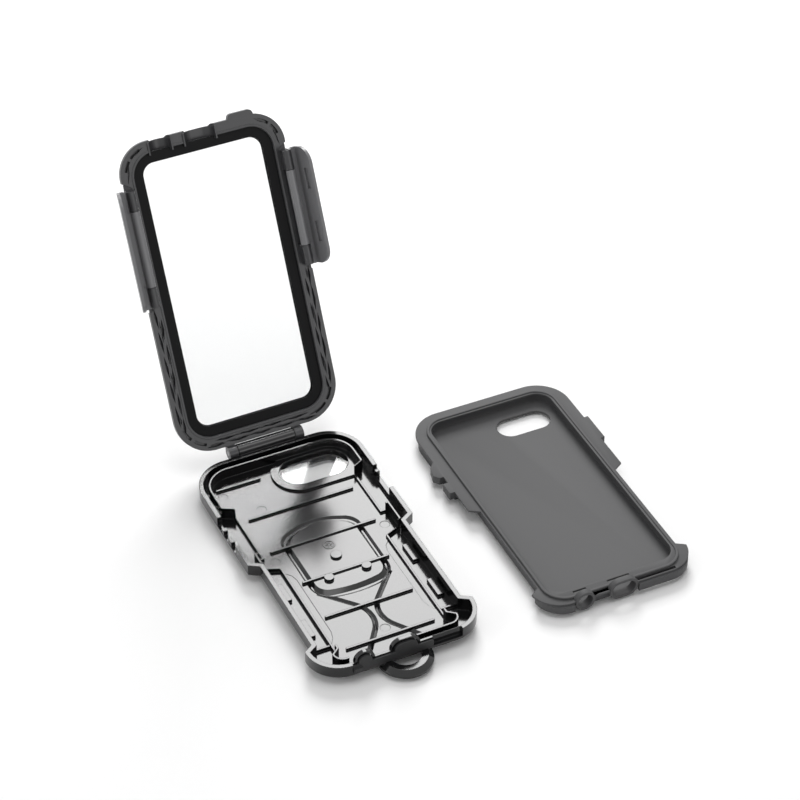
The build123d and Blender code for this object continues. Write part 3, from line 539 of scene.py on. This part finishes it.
# %% Lug bridges
BRIDGE = ((36.6, 41.0), (-58.0, 4.5))   # x and y ends
SHOULDER = ((38.6, 41.8), (2.2, 4.5))   # clear of the latch, which ends at 1.6
BRIDGE_Z = (11.8, 13.4)
bridge_shape = bmesh.new()
for side in (1, -1):
    for x_ends, y_ends in (BRIDGE, SHOULDER):
        box(bridge_shape, sorted(side * x for x in x_ends), y_ends, BRIDGE_Z)
as_piece(bridge_shape, "lug_bridges", lid_grey, "lid", LID_SWING)

# %% [markdown]
# Each latch has thin webs that close its hook pockets from outside, and cheeks that carry
# its skin past the lugs. They are modelled on the shut right latch, and a mirror turns
# them into those of the left one.

# %% Latch webs
# each is x ends, z ends, roll, and the y ends of its two blocks
WEBS = ((32.0, 36.0), (0.72, 1.12), 0.1, ((-19.6, -9.0), (-45.6, -35.0)))
CHEEKS = ((40.3, 41.75), (3.6, 5.15), BLOCK_ROLL, ((-10.0, 1.6), (-55.4, -45.0)))
for hand, place in (("right", LID_SWING @ LATCH_TURN), ("left", LID_SWING @ FLIP @ LATCH_TURN)):
    web_shape = bmesh.new()
    for x_ends, z_ends, roll, spans in (WEBS, CHEEKS):
        for y_ends in spans:
            box(web_shape, x_ends, y_ends, z_ends, roll)
    as_piece(web_shape, "latch_webs_" + hand, painted_lit_latch_grey, "latch_" + hand, place)

# %% [markdown]
# ## The liner
# Silicone comes out of its mould with every edge rounded, and thin walls that look soft.
# It could be modelled anew, but the fixed solid already has the right walls, so a copy of
# it is merged to clean faces and each sharp edge is rolled over with a bevel. The roll is
# smaller than half the wall, so that no face folds over itself. At the cable end the seal
# tongue under the flange is shorter, so its lowest points are lifted first.

# %% Copy and merge the liner
LINER_TURN = -0.57            # degrees, as it lies beside the tray
LINER_PLACE = (Matrix.Translation(Vector((109.0, -8.0, 0.0)) * MM)
               @ Matrix.Rotation(radians(LINER_TURN), 4, "Z"))
SEAL_NEAR_Y = -55.0           # the seal is lifted on this side of the liner
SEAL_FOOT = 0.5               # what lies lower than this is its foot
SEAL_LIFT = 2.8
SOFT_FLAT = radians(1.5)
liner_mesh = frame["nodes"]["silicone_liner"].data.copy()
liner_mesh.name = "soft_liner"
liner_mesh.materials.clear()
shape = bmesh.new()
shape.from_mesh(liner_mesh)
bmesh.ops.remove_doubles(shape, verts=shape.verts, dist=MERGE * MM)
bmesh.ops.dissolve_limit(shape, angle_limit=SOFT_FLAT, verts=shape.verts, edges=shape.edges)
to_liner = LINER_PLACE.inverted()
low_seal = [v for v in shape.verts if (to_liner @ v.co).z < SEAL_FOOT * MM
            and (to_liner @ v.co).y < SEAL_NEAR_Y * MM]
bmesh.ops.translate(shape, vec=(0, 0, SEAL_LIFT * MM), verts=low_seal)
print("seal points lifted", len(low_seal))

# %% Roll the liner's edges
EDGE_ROLL = 0.35 * MM
ROLL_ANGLE = radians(32)      # an edge that turns more than this is rolled
LINER_CREASE = radians(38)
sharp = [e for e in shape.edges
         if len(e.link_faces) == 2 and e.calc_face_angle(0) > ROLL_ANGLE]
bmesh.ops.bevel(shape, geom=sharp, offset=EDGE_ROLL, offset_type="OFFSET", segments=3,
                profile=0.5, affect="EDGES", clamp_overlap=True, material=-1)
for face in shape.faces:
    face.smooth = True
shape.to_mesh(liner_mesh)
shape.free()
liner_mesh.set_sharp_from_angle(angle=LINER_CREASE)
soft_liner = bpy.data.objects.new("soft_liner", liner_mesh)
scene.collection.objects.link(soft_liner)
liner_mesh.materials.append(liner_grey)
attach(soft_liner, "tray")
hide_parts("silicone_liner")
print("liner", len(liner_mesh.polygons), "faces,", len(sharp), "rolled edges")

# %% [markdown]
# A bead of silicone runs round the mouth of the pocket and grips the edge of the phone. It
# is the same kind of ring as the lid's lip, with its upper edges rolled.

# %% Bead round the pocket
BEAD_SIZE = (70.3, 141.5)
BEAD_Y = 1.05
BEAD_W = 1.5
BEAD_Z = (7.9, 8.75)
BEAD_CORNER = 11.3
BEAD_ROLL = 0.4
bead_shape = rounded_ring(BEAD_Y, BEAD_SIZE, BEAD_CORNER, BEAD_W, BEAD_Z)
upper = [e for e in bead_shape.edges if min(v.co.z for v in e.verts) > BEAD_Z[1] - 0.01]
bmesh.ops.bevel(bead_shape, geom=upper, offset=BEAD_ROLL, segments=3, profile=0.5,
                affect="EDGES", clamp_overlap=True, material=-1)
as_piece(bead_shape, "pocket_bead", liner_grey, "tray", LINER_PLACE)

# %% [markdown]
# The solids of the frame keep their shapes and get their finishes from one table. The two
# that are replaced above are in it too, so that no solid is left bare.

# %% Dress the solids
FINISHES = {
    "base_tray": tray_black, "camera_window": clear_pane, "outlet_plug": plug_rubber,
    "lid_frame": lid_grey, "window_film": clear_film, "film_clamp": clamp_black,
    "latch_right": painted_lit_latch_grey, "latch_left": painted_lit_latch_grey, "silicone_liner": liner_grey,
    "hinge_pin": pin_steel, "latch_pin_right": pin_steel, "latch_pin_left": pin_steel}
for name, finish in FINISHES.items():
    solid = frame["nodes"][name]
    solid.data.materials.clear()
    solid.data.materials.append(finish)
print("dressed", len(FINISHES), "solids")

# %% [markdown]
# ## Studio
# The ground is a large sheet of white paper. Its own white takes the lamps to paper white,
# and keeps only the soft shadows under the case. A backdrop without a ground would leave
# the case hanging in the air.

# %% White ground
GROUND_HALF = 3.0             # metres
ground_mesh = bpy.data.meshes.new("ground")
shape = bmesh.new()
bmesh.ops.create_grid(shape, x_segments=1, y_segments=1, size=GROUND_HALF)
shape.to_mesh(ground_mesh)
shape.free()
ground = bpy.data.objects.new("ground", ground_mesh)
scene.collection.objects.link(ground)
paper = bpy.data.materials.new("white_ground")
paper.use_nodes = True
paper.node_tree.nodes.clear()
tree = paper.node_tree
matt = node(tree, "ShaderNodeBsdfDiffuse", Color=linear("#fbfbfb"))
node(tree, "ShaderNodeOutputMaterial", [("Surface", matt.outputs["BSDF"])])
ground_mesh.materials.append(paper)
print("ground", 2 * GROUND_HALF, "metres wide")

# %% [markdown]
# The surround fills the shadows weakly, yet is paper white where it is seen: straight on,
# in a reflection, or through the film and the pane. A light path node tells those rays
# from the ones that light the case, and a mix of two backgrounds answers them.

# %% World
FILL = 0.38
world = bpy.data.worlds.new("studio")
scene.world = world
world.use_nodes = True
tree = world.node_tree
tree.nodes.clear()
ray = node(tree, "ShaderNodeLightPath")
fill = node(tree, "ShaderNodeBackground", Color=(1, 1, 1, 1), Strength=FILL)
paper_white = node(tree, "ShaderNodeBackground", Color=(1, 1, 1, 1), Strength=1.0)
seen = ray.outputs["Is Camera Ray"]
for kind in ("Is Glossy Ray", "Is Transmission Ray"):
    either = node(tree, "ShaderNodeMath", [("Value", seen)], operation="MAXIMUM")
    tree.links.new(ray.outputs[kind], either.inputs[1])
    seen = either.outputs[0]
shown = node(tree, "ShaderNodeMixShader", [("Fac", seen)])
tree.links.new(fill.outputs[0], shown.inputs[1])
tree.links.new(paper_white.outputs[0], shown.inputs[2])
node(tree, "ShaderNodeOutputWorld", [("Surface", shown.outputs[0])])
print("surround fills with", FILL)

# %% [markdown]
# The rear panel stands where the polished floor of the tray mirrors the camera's view, so
# that the black floor shows it as a broad grey sheen. A brighter floor colour could give
# that grey, but not the soft edges that make it look polished. The weaker panels light the
# ground, the walls at the front and those at the left.

# %% Lamps
REAR_DISTANCE = 1.5


def panel(name, spot, aim, width, height, watts):
    """A rectangular soft light at spot that faces aim, all in metres."""
    data = bpy.data.lights.new(name, "AREA")
    data.shape = "RECTANGLE"
    data.size = width
    data.size_y = height
    data.energy = watts
    lamp = bpy.data.objects.new(name, data)
    scene.collection.objects.link(lamp)
    way = (Vector(aim) - Vector(spot)).normalized()
    lamp.rotation_mode = "QUATERNION"
    lamp.rotation_quaternion = way.to_track_quat("-Z", "Y")
    lamp.location = spot
    print(name, watts, "watts")


mirror_way = ground_way * cos(CAMERA_HEIGHT) + Vector((0, 0, 1)) * sin(CAMERA_HEIGHT)
panel("rear_panel", mirror_way * REAR_DISTANCE, (0, 0, 0), 0.6, 0.8, 16)
panel("top_panel", (0.1, -0.1, 1.5), (0.05, 0, 0), 1.0, 1.0, 6)
panel("front_panel", (0.5, -1.35, 0.45), (0, 0.1, 0.08), 0.8, 0.5, 2)
panel("left_panel", (-1.3, 0.1, 0.55), (0, 0.1, 0.1), 0.7, 0.9, 4)
scene.view_settings.view_transform = "Standard"
